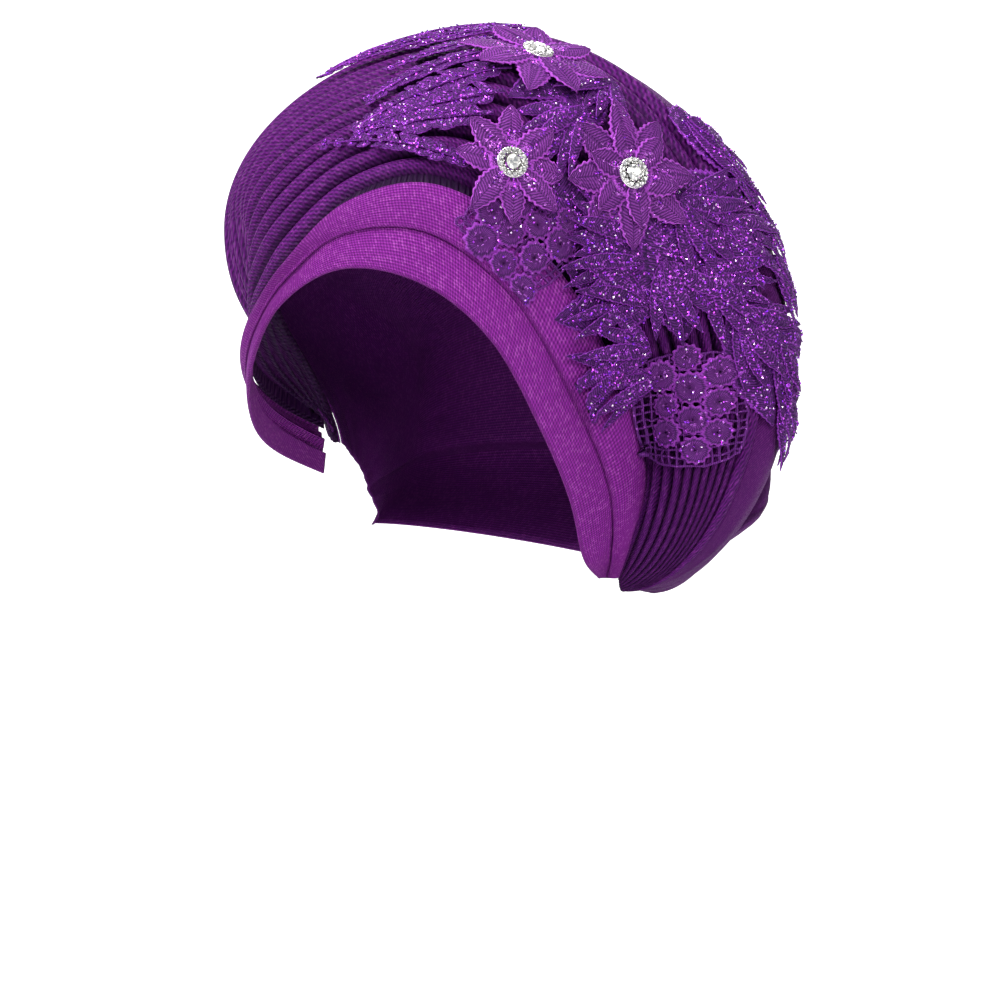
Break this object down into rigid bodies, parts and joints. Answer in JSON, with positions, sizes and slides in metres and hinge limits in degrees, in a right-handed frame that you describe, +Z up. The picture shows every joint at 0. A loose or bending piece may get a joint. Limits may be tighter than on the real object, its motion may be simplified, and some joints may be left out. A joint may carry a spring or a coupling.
{
  "type": "tied gele head tie",
  "caption": "Tied gele head tie with brow bands, a pleated fan, a fat crest roll and a full rounded back, trimmed with lace sprays, nets, embroidered flowers and stone brooches.",
  "frame": {"origin": "the middle of the head at the height of the ear tops, inside the open hollow, where the head wrap sits", "axes": "+Z up, the wearer faces -Y, +X is the wearer's left"},
  "size_m": [0.2361, 0.239, 0.2411],
  "materials": {
    "band_cloth": "stiff purple cloth with a raised honeycomb weave and a slight satin sheen",
    "pleat_cloth": "the same stiff purple cloth pressed into round pleats, dark in the valleys",
    "drape_cloth": "the same stiff purple cloth drawn smooth, with a fine selvedge along the hem",
    "lace_thread": "purple embroidery thread set with small violet sequins",
    "net_thread": "matt purple crocheted net",
    "petal_thread": "purple satin stitch with corded edges",
    "silver": "bright silver plate",
    "clear_stone": "clear cut glass with a foiled back"
  },
  "bodies": {
    "root": {"brow_band": "band_cloth", "over_band": "band_cloth", "pleated_fan": "pleat_cloth", "crest_roll": "pleat_cloth", "back_drape": "drape_cloth", "spray_crest": "lace_thread", "spray_front": "lace_thread", "spray_brow": "lace_thread", "spray_side_front": "lace_thread", "spray_side_upper": "lace_thread", "spray_rear_upper": "lace_thread", "spray_side_lower": "lace_thread", "net_front": "net_thread", "net_side": "net_thread", "flower_top": "petal_thread", "flower_front": "petal_thread", "flower_side": "petal_thread", "flower_side_upper": "petal_thread", "brooch_top_setting": "silver", "brooch_front_setting": "silver", "brooch_side_setting": "silver", "brooch_top_stone": "clear_stone", "brooch_front_stone": "clear_stone", "brooch_side_stone": "clear_stone"}
  },
  "joints": []
}
